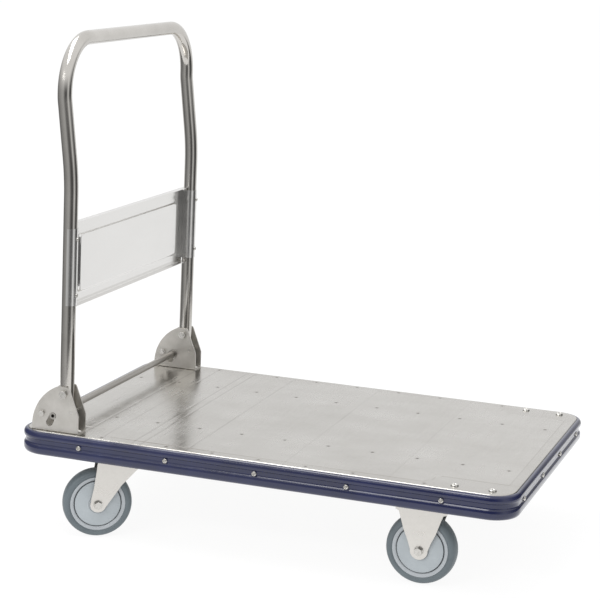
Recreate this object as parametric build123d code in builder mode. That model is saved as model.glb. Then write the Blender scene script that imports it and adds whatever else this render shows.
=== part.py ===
"""Folding platform cart: a stainless deck on four casters with a handle that folds down flat.

Frame: millimetres, +Z up, +X the way the cart is pushed (the handle stands at the -X end),
+Y to the cart's left. The origin is on the floor under the middle of the deck.
"""
import math
import os

from build123d import *

os.makedirs("parts", exist_ok=True)

# ---- deck and bumper -------------------------------------------------------
steel_length = 898.0
steel_width = 596.0
steel_corner = 42.0
sheet = 2.0                # thickness of the steel in the raised field
pad_drop = 0.8             # corner pads and border are pressed this far below the field
skirt_depth = 34.0
fold_r = 2.5               # outside radius where the sheet folds down
field_border_x = 19.0      # flat border outside the raised field
field_border_y = 22.0
pad_length = 146.0         # corner pads, from the ends of the steel
pad_width = 66.0           # and from its sides
pad_slant = 11.0
weld_pitch = 82.0
weld_row = 149.0
edge_weld_x = (0.0, 86.0, 171.0, 296.0)
edge_weld_inset = 13.0
dimple_ball = 12.5
dimple_deep = 0.5
bumper_thick = 8.0
bumper_height = 42.0
bumper_drop = 2.0          # bumper's top edge below the deck's field
bumper_gap = 0.1
band_deep = 3.4            # recessed band that holds the screws
band_half = 5.1
bumper_lip = 9.0           # turned in under the skirt
bumper_lip_thick = 2.2
screw_pitch_x = 165.7
screw_pitch_y = 150.0
screw_drop = 19.0
screw_r = 2.0
screw_length = 12.0
screw_head = (4.9, 3.9)    # radius and height

# ---- channels and rails under the deck ---------------------------------------
channel_depth = 37.5       # from the caster plates to the deck
channel_half = 51.0
channel_wall = 2.5
channel_end = 24.0         # channel ends inside the skirt
king_hole_r = 16.0
rail_depth = 20.0
rail_half = 18.0
rail_wall = 1.5

# ---- casters ---------------------------------------------------------------
wheel_dia = 125.0
tyre_width = 32.0
tyre_thick = 13.0
rim_face = 7.3             # light ring between the tyre and the side covers
hub_r = 16.0
hub_proud = 2.5            # hub ends stand out past the tyre
bearing_r = 11.0
bearing_w = 7.0
over_wheel = 30.0          # from the wheels to the top of the caster plates
caster_inset_x = 164.0     # from the ends of the steel
caster_inset_y = 68.0
trail = 38.0
right_turn = 30.0          # the right rear caster stands turned by this angle at rest
plate_length = 104.0
plate_width = 84.0
plate_thick = 3.5
plate_corner = 8.0
bolt_x = 80.0
bolt_y = 60.0
leg_thick = 3.0
hub_gap = 1.0              # between a hub end and the fork leg
axle_r = 4.0
axle_gap = 0.1
sleeve_r = 7.0
run_gap = 0.08             # radial running clearance of every turning fit
race_thick = 1.9
race_r = 29.0
race_wall = 2.0
race_skirt = 4.5
ball_r = 3.0
ball_ring = 22.5
ball_count = 18
ball_gap = 0.02
crown_gap = 0.4
crown_thick = 3.0
crown_half = 37.0
king_r = 6.0
king_head_r = 10.0
king_head = 5.0
boss_r = 14.0              # round ends of the swivel legs
rigid_boss_r = 15.5

# ---- handle and hinge ------------------------------------------------------
tube_r = 12.7
tube_wall = 1.6
handle_inset = 79.5        # tube line from the end of the steel
hinge_inset = 23.0         # tube line from the side of the steel
grip_up = 692.5            # centre of the grip bar above the deck's field
bend_back = 16.0
bend_low_up = 456.5
bend_high_up = 592.5
bend_low_r = 600.0
bend_high_r = 120.0
corner_r = 90.0
pivot_ahead = 1.0          # pivot in front of the tube line
pivot_up = 70.0            # above the deck's field
heel = 37.0                # tube length below the pivot
ear_thick = 2.7
base_bend = 2.5            # outside radius where the ears fold up from the base
ear_clear = 0.6            # between the tube and each ear
ear_front = 30.5           # the ear's outline, about the tube line and the pad
ear_back = 61.0
ear_high = 84.0
ear_arc_r = 82.3
ear_arc_mid = (22.0, 8.0)
base_ahead = 23.5          # bolts through pad and bracket base, from the tube line
base_behind = 41.5
bush_r = 5.5
bush_gap = 0.02
stop_r = 2.95
stop_down = 31.0           # stop pin below the pivot
stop_gap = 0.45            # between the stop pin and the tube
stop_fit = 0.05            # pin in its holes
plug_flange = 1.5          # rubbing end of the foot plugs
plug_length = 14.0
plug_wall = 2.4
plug_gap = 0.05
lock_r = 6.0
lock_wall = 2.8
lock_clear = 0.8           # between the lock bar and the tube line's rear side
lock_up = 28.0             # above the deck's field
bar_out = 0.4              # bar ends past the brackets
lock_travel = 14.6
slot_lean = 26.5           # degrees off the vertical
slot_gap = 0.35
collar_r = 8.6
collar_width = 4.0
collar_clear = 1.0
spring_back = 41.0
spring_up = 30.8
spring_bolt_r = 3.0
spring_sleeve_r = 4.4
coil_r = 5.4
coil_pitch = 2.4
coil_width = 12.0
wire_r = 0.7
leg_clear = 0.6            # between a spring's leg and the lock bar

# ---- cross panel on the handle -----------------------------------------------
panel_up = 221.5           # panel's lower edge above the deck's field
panel_height = 152.0
panel_sheet = 1.2
panel_back = 10.6          # back face behind the tube line
panel_lip = 12.6
wrap_in_low = 8.0          # wraps stop short of the panel's edges
wrap_in_high = 7.0
wrap_gap = 0.05
lip_end_gap = 1.3
emboss_deep = 4.0
emboss_length = 442.0
emboss_in_low = 21.0       # pressed field, from the panel's edges
emboss_in_high = 27.0
screw_in = 26.0            # wrap screws, from the panel's edges

# ---- fasteners ---------------------------------------------------------------
m8_r, m8_across, m8_nut, m8_head = 4.0, 13.0, 6.5, 5.3
m6_across, m6_nut = 10.0, 5.0
hole_gap = 0.2
thread_out = 1.5           # bolt ends past their nuts
thread_gap = 0.02
washer_r = 8.5
washer_thick = 1.4
m6_head = 4.0
pad_head = (7.0, 3.2)      # domed heads: radius and height
base_head = (6.0, 3.2)
panel_screw_head = (3.8, 2.2)

# ---- places that follow from the sizes ------------------------------------------
half_x = steel_length / 2
half_y = steel_width / 2
wheel_r = wheel_dia / 2
rim_r = wheel_r - tyre_thick
seam_r = rim_r - rim_face
caster_height = wheel_dia + over_wheel
deck_top = caster_height + channel_depth + sheet
field_x = half_x - field_border_x
field_y = half_y - field_border_y
pad_x = half_x - pad_length
pad_y = half_y - pad_width
border_z = deck_top - pad_drop
under_z = deck_top - sheet
skirt_z = under_z - skirt_depth
bumper_top = deck_top - bumper_drop
screw_z = bumper_top - screw_drop
caster_x = half_x - caster_inset_x
caster_y = half_y - caster_inset_y
plate_low = caster_height - plate_thick
hub_half = tyre_width / 2 + hub_proud
leg_inner = hub_half + hub_gap
leg_out = leg_inner + leg_thick
tube_x = handle_inset - half_x
hinge_y = half_y - hinge_inset
ear_gap = 2 * (tube_r + ear_clear)
ear_out = ear_gap / 2 + ear_thick
pivot_x = tube_x + pivot_ahead
pivot_z = deck_top + pivot_up
lock_x = tube_x - tube_r - lock_r - lock_clear
lock_z = deck_top + lock_up
spring_x = tube_x - spring_back
spring_z = deck_top + spring_up
stop_x = tube_x + tube_r + stop_r + stop_gap
stop_z = pivot_z - stop_down
handle_top = deck_top + grip_up
bend_low = deck_top + bend_low_up
bend_high = deck_top + bend_high_up
panel_low = deck_top + panel_up
panel_high = panel_low + panel_height
wrap_low = panel_low + wrap_in_low
wrap_high = panel_high - wrap_in_high
emboss_low = panel_low + emboss_in_low
emboss_high = panel_high - emboss_in_high
panel_screw_z = (panel_low + screw_in, panel_high - screw_in)
sides = (-1, 1)
hex_ratio = math.cos(math.radians(30))


def save(part, name):
    part.label = name
    export_step(part, "parts/" + name + ".step")


def rod(r, x, y, z, length, hole=0.0, along="y"):
    """A round bar, or a tube when a hole is given, centred on the point."""
    turn = {"x": (0, 90, 0), "y": (90, 0, 0), "z": (0, 0, 0)}[along]
    with BuildPart() as bar:
        with Locations(Location((x, y, z), turn)):
            Cylinder(r, length)
            if hole:
                Cylinder(hole, length, mode=Mode.SUBTRACT)
    return bar.part


def hex_nut(across, height, hole):
    """A nut standing on the XY plane."""
    with BuildPart() as nut:
        with BuildSketch():
            RegularPolygon(across / 2 / hex_ratio, 6)
            Circle(hole, mode=Mode.SUBTRACT)
        extrude(amount=height)
    return nut.part


def dome_bolt(head_r, head_h, shank_r, length):
    """A round head above the XY plane with its shank going down."""
    ball = (head_r**2 + head_h**2) / (2 * head_h)
    with BuildPart() as bolt:
        with BuildSketch(Plane.XZ):
            with BuildLine():
                a = Line((0, -length), (shank_r, -length))
                b = Line(a @ 1, (shank_r, 0))
                c = Line(b @ 1, (head_r, 0))
                mid = head_r * 0.7
                top = math.sqrt(ball**2 - mid**2) - (ball - head_h)
                d = ThreePointArc(c @ 1, (mid, top), (0, head_h))
                Line(d @ 1, a @ 0)
            make_face()
        revolve(axis=Axis.Z)
    return bolt.part


def hex_bolt(across, head_h, shank_r, length):
    """A hexagon head standing on the XY plane with its shank going down."""
    with BuildPart() as bolt:
        with BuildSketch():
            RegularPolygon(across / 2 / hex_ratio, 6)
        extrude(amount=head_h)
        Cylinder(shank_r, length, align=(Align.CENTER, Align.CENTER, Align.MAX))
    return bolt.part


def group(pieces):
    """Several loose solids kept together under one name."""
    out = []
    for piece in pieces:
        out.extend(piece.solids())
    return Compound(children=out)


def bent_wire(points, radii):
    """Straight runs joined by tangent arcs, one radius for each inner point."""
    with BuildLine() as line:
        start = Vector(*points[0])
        for here, after, before, r in zip(points[1:-1], points[2:], points[:-2], radii):
            corner = Vector(*here)
            back = (Vector(*before) - corner).normalized()
            ahead = (Vector(*after) - corner).normalized()
            half = math.radians(back.get_angle(ahead)) / 2
            reach = r / math.tan(half)
            middle = (back + ahead).normalized() * (r / math.sin(half) - r)
            p = corner + back * reach
            q = corner + ahead * reach
            Line(start, p)
            ThreePointArc(p, corner + middle, q)
            start = q
        Line(start, Vector(*points[-1]))
    return line.wire()


# ---- deck pan: one sheet, folded down all round ------------------------------
def side_screws(radius, depth):
    """Bars along every bumper screw, sunk into the skirt, to cut their holes."""
    with BuildPart(mode=Mode.PRIVATE) as bars:
        for x, s in skirt_screws:
            with Locations(Location((x, s * half_y, screw_z), (90, 0, 0))):
                Cylinder(radius, depth)
        for s, y in end_screws:
            with Locations(Location((s * half_x, y, screw_z), (0, 90, 0))):
                Cylinder(radius, depth)
    return bars.part


corner_line = [
    (field_x, -pad_y), (field_x, pad_y), (pad_x + pad_slant, pad_y), (pad_x - pad_slant, field_y),
]
field_outline = corner_line + [(-x, y) for x, y in reversed(corner_line[1:])]
field_outline += [(-x, -y) for x, y in corner_line[1:]]
field_outline += [(x, -y) for x, y in reversed(corner_line[1:])]
weld_half = int((field_x - 2 * dimple_ball / 3) // weld_pitch)
weld_spots = [(weld_pitch * i, s * weld_row) for i in range(-weld_half, weld_half + 1) for s in sides]
edge_weld_y = half_y - edge_weld_inset
edge_welds = [(sx * x, s * edge_weld_y) for x in edge_weld_x for s in sides for sx in {1, -1 if x else 1}]
base_bolts = [(tube_x + d, s * hinge_y) for d in (base_ahead, -base_behind) for s in sides]
end_bolts = [(-x, y) for x, y in base_bolts]
skirt_screws = [(screw_pitch_x * i, s) for i in range(-2, 3) for s in sides]
end_screws = [(s, screw_pitch_y * i) for i in (-1.5, -0.5, 0.5, 1.5) for s in sides]

with BuildPart() as deck:
    with BuildSketch(Plane.XY.offset(skirt_z)):
        RectangleRounded(steel_length, steel_width, steel_corner)
    extrude(amount=border_z - skirt_z)
    fillet(deck.edges().group_by(Axis.Z)[-1], radius=fold_r)
    with BuildSketch(Plane.XY.offset(skirt_z)):
        RectangleRounded(steel_length - 2 * sheet, steel_width - 2 * sheet, steel_corner - sheet)
    extrude(amount=under_z - skirt_z, mode=Mode.SUBTRACT)
    with BuildSketch(Plane.XY.offset(border_z)):
        Polygon(*field_outline, align=None)
    extrude(amount=pad_drop)
    with Locations(*[(x, y, deck_top + dimple_ball - dimple_deep) for x, y in weld_spots]):
        Sphere(dimple_ball, mode=Mode.SUBTRACT)
    with Locations(*[(x, y, border_z + dimple_ball - dimple_deep) for x, y in edge_welds]):
        Sphere(dimple_ball, mode=Mode.SUBTRACT)
    with Locations(*[(x, y, border_z) for x, y in base_bolts + end_bolts]):
        Cylinder(m8_r + hole_gap, 4 * sheet, mode=Mode.SUBTRACT)
    add(side_screws(screw_r + hole_gap, 4 * sheet), mode=Mode.SUBTRACT)
save(deck.part, "deck_panel")

# ---- channels under the deck -----------------------------------------------
channel_y = half_y - sheet - channel_end
standing = (Align.CENTER, Align.CENTER, Align.MIN)
for name, sx in (("cross_channel_rear", -1), ("cross_channel_front", 1)):
    with BuildPart() as cross:
        with Locations((sx * caster_x, 0, caster_height)):
            Box(2 * channel_half, 2 * channel_y, under_z - caster_height, align=standing)
        with Locations((sx * caster_x, 0, caster_height + channel_wall)):
            Box(2 * (channel_half - channel_wall), 2 * channel_y, under_z - caster_height,
                align=standing, mode=Mode.SUBTRACT)
        for s in sides:
            with Locations((sx * caster_x, s * caster_y, caster_height)):
                Cylinder(king_hole_r, 4 * channel_wall, mode=Mode.SUBTRACT)
                with GridLocations(bolt_x, bolt_y, 2, 2):
                    Cylinder(m8_r + hole_gap, 4 * channel_wall, mode=Mode.SUBTRACT)
    save(cross.part, name)

for name, s in (("deck_rail_right", -1), ("deck_rail_left", 1)):
    with BuildPart() as rail:
        with Locations((0, s * weld_row, under_z - rail_depth)):
            Box(2 * (caster_x - channel_half), 2 * rail_half, rail_depth, align=standing)
        with Locations((0, s * weld_row, under_z - rail_depth + rail_wall)):
            Box(2 * (caster_x - channel_half), 2 * (rail_half - rail_wall), rail_depth,
                align=standing, mode=Mode.SUBTRACT)
    save(rail.part, name)

# ---- bumper: one moulded strip round the deck --------------------------------
corners = [(half_x, -half_y), (half_x, half_y), (-half_x, half_y), (-half_x, -half_y)]
around = [(0, -half_y)] + corners + [(0, -half_y)]
band_at = bumper_thick - band_deep
with BuildPart() as bumper:
    run = bent_wire([(x, y, bumper_top) for x, y in around], (steel_corner,) * 4)
    with BuildSketch(Plane(origin=(0, -half_y, bumper_top), x_dir=(0, -1, 0), z_dir=(-1, 0, 0))):
        with BuildLine():
            # the section, from the deck outwards and down: bulge, band, bead, lower bulge, lip
            Polyline(
                (bumper_gap, 0), (band_at - 1.6, 0), (bumper_thick - 2.2, -2.2),
                (bumper_thick - 0.5, -5.0), (bumper_thick, -8.0), (bumper_thick - 0.4, -11.5),
                (bumper_thick - 1.8, -13.7), (band_at, band_half - screw_drop),
                (band_at, -band_half - screw_drop), (bumper_thick - 1.6, -24.4),
                (bumper_thick - 0.3, -27.0), (bumper_thick, -31.0), (bumper_thick - 0.6, -35.5),
                (bumper_thick - 2.4, -39.5), (band_at - 1.6, 0.6 - bumper_height),
                (1.0, -bumper_height), (-bumper_lip, -bumper_height),
                (-bumper_lip, bumper_lip_thick - bumper_height),
                (bumper_gap, bumper_lip_thick - bumper_height), close=True,
            )
        make_face()
    sweep(path=run)
    add(side_screws(screw_r + hole_gap, 4 * bumper_thick), mode=Mode.SUBTRACT)
save(bumper.part, "bumper")

screw = dome_bolt(*screw_head, screw_r, screw_length)
screws = [Location((x, s * (half_y + band_at), screw_z), (-90 * s, 0, 0)) * screw for x, s in skirt_screws]
screws += [Location((s * (half_x + band_at), y, screw_z), (0, 90 * s, 0)) * screw for s, y in end_screws]
save(group(screws), "bumper_screws")

# ---- hinge brackets: folded U, two ears and a base -----------------------------
slot_dir = Vector(-math.sin(math.radians(slot_lean)), 0, -math.cos(math.radians(slot_lean)))
slot_half = lock_r + slot_gap
arc_turn = math.radians(32)
ear_arc_at = (ear_arc_mid[0] - ear_arc_r * math.cos(arc_turn), ear_arc_mid[1] + ear_arc_r * math.sin(arc_turn))
# side outline of an ear, about the tube line and the pad: its back is an arc
with BuildSketch() as ear:
    with BuildLine():
        front_edge = Line((ear_front, 0), (ear_front, ear_high - 51))
        slope = Line(front_edge @ 1, (11.5, ear_high - 2))
        nose = Line(slope @ 1, (9.5, ear_high))
        top_edge = Line(nose @ 1, (-10.8, ear_high))
        back_edge = ThreePointArc(top_edge @ 1, ear_arc_at, (1.0 - ear_back, ear_arc_mid[1]))
        heel_edge = Line(back_edge @ 1, (-ear_back, 0))
        Line(heel_edge @ 1, front_edge @ 0)
    make_face()


def bracket(s):
    across = 4 * ear_gap
    with BuildPart() as body:
        outer = Plane(origin=(tube_x, s * hinge_y + ear_out, border_z), x_dir=(1, 0, 0), z_dir=(0, -1, 0))
        extrude(outer * ear.sketch, amount=2 * ear_out)
        fillet(body.edges().filter_by(Axis.X).group_by(Axis.Z)[0], radius=base_bend)
        with Locations((tube_x, s * hinge_y, border_z + ear_thick)):
            Box(4 * ear_back, ear_gap, 2 * ear_high, align=standing, mode=Mode.SUBTRACT)
        # the slot for the lock bar
        mid = Vector(lock_x, s * hinge_y, lock_z) + slot_dir * (lock_travel / 2)
        with Locations(Location(tuple(mid), (0, slot_lean, 0))):
            Box(2 * slot_half, across, lock_travel, mode=Mode.SUBTRACT)
        bores = [(lock_x, lock_z, slot_half), (spring_x, spring_z, spring_bolt_r + axle_gap)]
        bores += [(lock_x + slot_dir.X * lock_travel, lock_z + slot_dir.Z * lock_travel, slot_half)]
        bores += [(pivot_x, pivot_z, axle_r + axle_gap), (stop_x, stop_z, stop_r + stop_fit)]
        for x, z, r in bores:
            with Locations(Location((x, s * hinge_y, z), (90, 0, 0))):
                Cylinder(r, across, mode=Mode.SUBTRACT)
        with Locations(*[(x, y, border_z) for x, y in base_bolts if y * s > 0]):
            Cylinder(m8_r + hole_gap, 4 * ear_thick, mode=Mode.SUBTRACT)
    return body.part


for name, s in (("hinge_bracket_right", -1), ("hinge_bracket_left", 1)):
    save(bracket(s), name)

pivot_bolts, hinge_nuts, spring_bolts, spring_sleeves, stop_pins = [], [], [], [], []
pivot_bolt = hex_bolt(m8_across, m8_head, axle_r, 2 * ear_out + m8_nut + thread_out)
spring_bolt = hex_bolt(m6_across, m6_head, spring_bolt_r, 2 * ear_out + m6_nut + thread_out)
for s in sides:
    outside = s * (hinge_y + ear_out)
    inside = s * (hinge_y - ear_out)
    pivot_bolts.append(Location((pivot_x, outside, pivot_z), (-90 * s, 0, 0)) * pivot_bolt)
    spring_bolts.append(Location((spring_x, outside, spring_z), (-90 * s, 0, 0)) * spring_bolt)
    big_nut = hex_nut(m8_across, m8_nut, axle_r + thread_gap)
    small_nut = hex_nut(m6_across, m6_nut, spring_bolt_r + thread_gap)
    hinge_nuts.append(Location((pivot_x, inside, pivot_z), (90 * s, 0, 0)) * big_nut)
    hinge_nuts.append(Location((spring_x, inside, spring_z), (90 * s, 0, 0)) * small_nut)
    sleeve_hole = spring_bolt_r + axle_gap
    spring_sleeves.append(rod(spring_sleeve_r, spring_x, s * hinge_y, spring_z, ear_gap, hole=sleeve_hole))
    stop_pins.append(rod(stop_r, stop_x, s * hinge_y, stop_z, 2 * ear_out))
save(group(pivot_bolts), "pivot_bolts")
save(group(hinge_nuts), "hinge_nuts")
save(group(spring_bolts), "spring_bolts")
save(group(spring_sleeves), "spring_sleeves")
save(group(stop_pins), "stop_pins")

# bolts through the pads: in the open at the free end, inside the brackets at the other
pad_bolt = dome_bolt(*pad_head, m8_r, 2 * sheet + m8_nut + thread_out)
base_bolt = dome_bolt(*base_head, m8_r, 2 * sheet + ear_thick + m8_nut)
pad_nut = hex_nut(m8_across, m8_nut, m8_r + thread_gap)
save(group([Location((x, y, border_z)) * pad_bolt for x, y in end_bolts]), "deck_bolts")
save(group([Location((x, y, border_z + ear_thick)) * base_bolt for x, y in base_bolts]), "bracket_bolts")
save(group([Location((x, y, under_z - m8_nut)) * pad_nut for x, y in base_bolts + end_bolts]), "deck_nuts")

# ---- lock bar, its collars and its springs -------------------------------------
with BuildPart() as lock_bar:
    with Locations(Location((lock_x, 0, lock_z), (90, 0, 0))):
        Cylinder(lock_r, 2 * (hinge_y + ear_out + bar_out))
        Cylinder(lock_r - lock_wall, 2 * (hinge_y + ear_out + bar_out), mode=Mode.SUBTRACT)
save(lock_bar.part, "lock_bar")
collar_y = hinge_y - ear_out - collar_clear - collar_width / 2
collars = [rod(collar_r, lock_x, s * collar_y, lock_z, collar_width, hole=lock_r + thread_gap) for s in sides]
save(group(collars), "lock_bar_collars")

springs = []
for s in sides:
    with BuildPart() as spring:
        with BuildLine() as coil:
            Helix(pitch=coil_pitch, height=coil_width, radius=coil_r,
                  center=(spring_x, s * hinge_y - coil_width / 2, spring_z), direction=(0, 1, 0))
        start = coil.wire() @ 0
        with BuildSketch(Plane(origin=start, z_dir=coil.wire() % 0)):
            Circle(wire_r)
        sweep(path=coil.wire(), is_frenet=True)
        leg_from = Vector(spring_x, start.Y + wire_r, spring_z - coil_r)
        leg_to = Vector(lock_x, leg_from.Y, lock_z - lock_r - wire_r - leg_clear)
        with BuildSketch(Plane(origin=leg_from, z_dir=leg_to - leg_from)):
            Circle(wire_r)
        extrude(amount=(leg_to - leg_from).length)
    springs.append(spring.part)
save(group(springs), "lock_springs")

# ---- handle: one bent tube, with its bushes, plugs and panel ----------------------
foot = pivot_z - heel
lean_x = tube_x - bend_back
right_side = [(tube_x, foot), (tube_x, bend_low), (lean_x, bend_high), (lean_x, handle_top)]
path_points = [(x, -hinge_y, z) for x, z in right_side] + [(x, hinge_y, z) for x, z in reversed(right_side)]
bend_radii = (bend_low_r, bend_high_r, corner_r, corner_r, bend_high_r, bend_low_r)
screw_places = [(s, z) for s in sides for z in panel_screw_z]


def front_holes(depth):
    """Bars through the front of both uprights where the panel's screws go."""
    with BuildPart(mode=Mode.PRIVATE) as bars:
        with Locations(*[Location((tube_x + tube_r, s * hinge_y, z), (0, 90, 0)) for s, z in screw_places]):
            Cylinder(screw_r + axle_gap, depth)
    return bars.part


with BuildPart() as handle:
    tube_path = bent_wire(path_points, bend_radii)
    with BuildSketch(Plane(origin=(tube_x, -hinge_y, foot), z_dir=(0, 0, 1))):
        Circle(tube_r)
        Circle(tube_r - tube_wall, mode=Mode.SUBTRACT)
    sweep(path=tube_path)
    for s in sides:
        with Locations((tube_x, s * hinge_y, foot)):
            Box(4 * tube_r, 4 * tube_r, 2 * plug_flange, mode=Mode.SUBTRACT)
        with Locations(Location((pivot_x, s * hinge_y, pivot_z), (90, 0, 0))):
            Cylinder(bush_r + bush_gap, 4 * tube_r, mode=Mode.SUBTRACT)
    add(front_holes(tube_r), mode=Mode.SUBTRACT)
save(handle.part, "handle_tube")

bush_length = ear_gap - ear_clear
bush_hole = axle_r + run_gap
bushes = [rod(bush_r, pivot_x, s * hinge_y, pivot_z, bush_length, hole=bush_hole) for s in sides]
save(group(bushes), "pivot_bushes")
with BuildPart() as plug:
    Cylinder(tube_r - wire_r, plug_flange, align=standing)
    Cylinder(tube_r - tube_wall - plug_gap, plug_length, align=standing)
    with Locations((0, 0, plug_flange)):
        Cylinder(tube_r - tube_wall - plug_wall, plug_length, align=standing, mode=Mode.SUBTRACT)
save(group([Pos(tube_x, s * hinge_y, foot) * plug.part for s in sides]), "tube_plugs")

wrap_in = tube_r + wrap_gap
wrap_out = wrap_in + panel_sheet
panel_x = tube_x - panel_back
panel_y = hinge_y - wrap_in
front_of = (Align.MIN, Align.CENTER, Align.MIN)
emboss_high_z = emboss_high - emboss_low
with BuildPart() as panel:
    with Locations((panel_x, 0, panel_low)):
        Box(panel_sheet, 2 * panel_y, panel_high - panel_low, align=front_of)
    for z in (panel_low, panel_high - panel_sheet):
        with Locations((panel_x, 0, z)):
            Box(panel_lip, 2 * (panel_y - lip_end_gap), panel_sheet, align=front_of)
    for s in sides:
        with BuildSketch(Plane.XY.offset(wrap_low)):
            with Locations((tube_x, s * hinge_y)):
                Circle(wrap_out)
                Circle(wrap_in, mode=Mode.SUBTRACT)
            with Locations((tube_x - 2 * tube_r, s * hinge_y)):
                Rectangle(4 * tube_r, 4 * tube_r, mode=Mode.SUBTRACT)
            with Locations((panel_x, s * panel_y)):
                Rectangle(panel_back, panel_sheet, align=(Align.MIN, Align.MAX if s > 0 else Align.MIN))
        extrude(amount=wrap_high - wrap_low)
    add(front_holes(tube_r), mode=Mode.SUBTRACT)
    with Locations((panel_x, 0, emboss_low)):
        Box(panel_sheet + emboss_deep, emboss_length, emboss_high_z, align=front_of)
    with Locations((panel_x, 0, emboss_low + panel_sheet)):
        Box(emboss_deep, emboss_length - 2 * panel_sheet, emboss_high_z - 2 * panel_sheet,
            align=front_of, mode=Mode.SUBTRACT)
save(panel.part, "handle_panel")
panel_screw = dome_bolt(*panel_screw_head, screw_r, 2 * tube_r / 3)
wrap_face = tube_x + wrap_out
panel_screws = [Location((wrap_face, s * hinge_y, z), (0, 90, 0)) * panel_screw for s, z in screw_places]
save(group(panel_screws), "panel_screws")

# ---- wheels: built about the Y axis, then set in their forks -----------------------
core_half = tyre_width / 2 - 1.5
web_half = 4.0
cover_step = hub_half - 2.6        # covers' inner edge, level with the hub's end


def turned(points):
    """Spin a closed outline of (radius, offset) points round the Y axis."""
    with BuildPart() as body:
        with BuildSketch():
            with BuildLine():
                Polyline(*points, close=True)
            make_face()
        revolve(axis=Axis.Y)
    return body.part


def tyre():
    w = tyre_width / 2
    r = wheel_r
    with BuildPart() as body:
        with BuildSketch():
            with BuildLine():
                a = Line((rim_r, -w + 2.0), (rim_r + 2.5, -w))
                b = Line(a @ 1, (r - 7.0, -w))
                c = ThreePointArc(b @ 1, (r - 2.2, -w + 2.6), (r - 0.4, -w + 8.0))
                d = ThreePointArc(c @ 1, (r, 0), (r - 0.4, w - 8.0))
                e = ThreePointArc(d @ 1, (r - 2.2, w - 2.6), (r - 7.0, w))
                f = Line(e @ 1, (rim_r + 2.5, w))
                g2 = Line(f @ 1, (rim_r, w - 2.0))
                Line(g2 @ 1, a @ 0)
            make_face()
        revolve(axis=Axis.Y)
    return body.part


core_side = [
    (rim_r, core_half), (seam_r + 1.0, core_half - 0.5), (seam_r - 1.0, web_half), (hub_r + 1.0, web_half),
    (hub_r, hub_half), (bearing_r, hub_half), (bearing_r, hub_half - bearing_w),
    (bearing_r - 1.5, hub_half - bearing_w),
]
core = turned(core_side + [(r, -w) for r, w in reversed(core_side)])
cover_low = hub_r + 0.4            # clear of the hub
cover_mid = (cover_low + seam_r) / 2
cover = turned([
    (cover_low, cover_step), (cover_low, cover_step + 1.7), (cover_low + 4.6, cover_step + 1.1),
    (cover_mid, cover_step - 0.3), (seam_r - 0.3, cover_step - 1.9), (seam_r, cover_step - 2.4),
    (seam_r - 0.6, cover_step - 3.5), (cover_mid, cover_step - 1.8), (cover_low + 4.6, cover_step - 0.4),
])
cover_back = cover.mirror(Plane.XZ)
bearing = rod(bearing_r, 0, hub_half - bearing_w / 2, 0, bearing_w, hole=sleeve_r + run_gap)
bearing_back = bearing.mirror(Plane.XZ)
sleeve = rod(sleeve_r, 0, 0, 0, 2 * leg_inner, hole=axle_r + axle_gap)
with BuildPart() as axle_body:
    thread = m8_nut + thread_out
    add(rod(axle_r, 0, thread / 2, 0, 2 * leg_out + thread))
    with BuildSketch(Plane(origin=(0, -leg_out - washer_thick, 0), z_dir=(0, -1, 0))):
        RegularPolygon(m8_across / 2 / hex_ratio, 6)
    extrude(amount=m8_head)
    with Locations(Location((0, -leg_out - washer_thick / 2, 0), (90, 0, 0))):
        Cylinder(washer_r, washer_thick)
axle_nut = Location((0, leg_out, 0), (-90, 0, 0)) * hex_nut(m8_across, m8_nut, axle_r + thread_gap)

places = {
    "rear_left": (-caster_x - trail, caster_y, 0.0),
    "rear_right": (-caster_x - trail * math.cos(math.radians(right_turn)),
                   -caster_y - trail * math.sin(math.radians(right_turn)), right_turn),
    "front_left": (caster_x, caster_y, 0.0),
    "front_right": (caster_x, -caster_y, 0.0),
}
one_tyre = tyre()
front_bolts, front_nuts, front_sleeves = [], [], []
for corner, (x, y, turn) in places.items():
    # an outboard bolt head: the left casters are turned round to keep it outside
    outward = 0.0 if "right" in corner else 180.0
    seat = Location((x, y, wheel_r), (0, 0, turn + outward))
    save(seat * one_tyre, "tyre_" + corner)
    save(seat * core, "wheel_core_" + corner)
    save(group([seat * cover, seat * cover_back]), "hub_covers_" + corner)
    save(group([seat * bearing, seat * bearing_back]), "wheel_bearings_" + corner)
    if "front" in corner:
        front_bolts.append(seat * axle_body.part)
        front_nuts.append(seat * axle_nut)
        front_sleeves.append(seat * sleeve)
    else:
        save(seat * axle_body.part, "axle_bolt_" + corner)
        save(seat * axle_nut, "axle_nut_" + corner)
        save(seat * sleeve, "axle_sleeve_" + corner)
save(group(front_bolts), "axle_bolts_front")
save(group(front_nuts), "axle_nuts_front")
save(group(front_sleeves), "axle_sleeves_front")

# ---- swivel casters: plate, ball ring, kingpin and trailing fork --------------------
race_low = plate_low - race_thick
ball_z = race_low - ball_r
crown_top = ball_z - ball_r - crown_gap
crown_low = crown_top - crown_thick


def caster_plate(race):
    with BuildPart() as plate:
        with BuildSketch(Plane.XY.offset(plate_low)):
            RectangleRounded(plate_length, plate_width, plate_corner)
        extrude(amount=plate_thick)
        if race:
            with BuildSketch(Plane.XY.offset(race_low)):
                Circle(race_r)
                Circle(king_hole_r, mode=Mode.SUBTRACT)
            extrude(amount=plate_low - race_low)
            with BuildSketch(Plane.XY.offset(race_low - race_skirt)):
                Circle(race_r)
                Circle(race_r - race_wall, mode=Mode.SUBTRACT)
            extrude(amount=race_skirt)
            Cylinder(king_r + axle_gap, 2 * deck_top, mode=Mode.SUBTRACT)
        with GridLocations(bolt_x, bolt_y, 2, 2):
            Cylinder(m8_r + hole_gap, 2 * deck_top, mode=Mode.SUBTRACT)
    return plate.part


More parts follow.
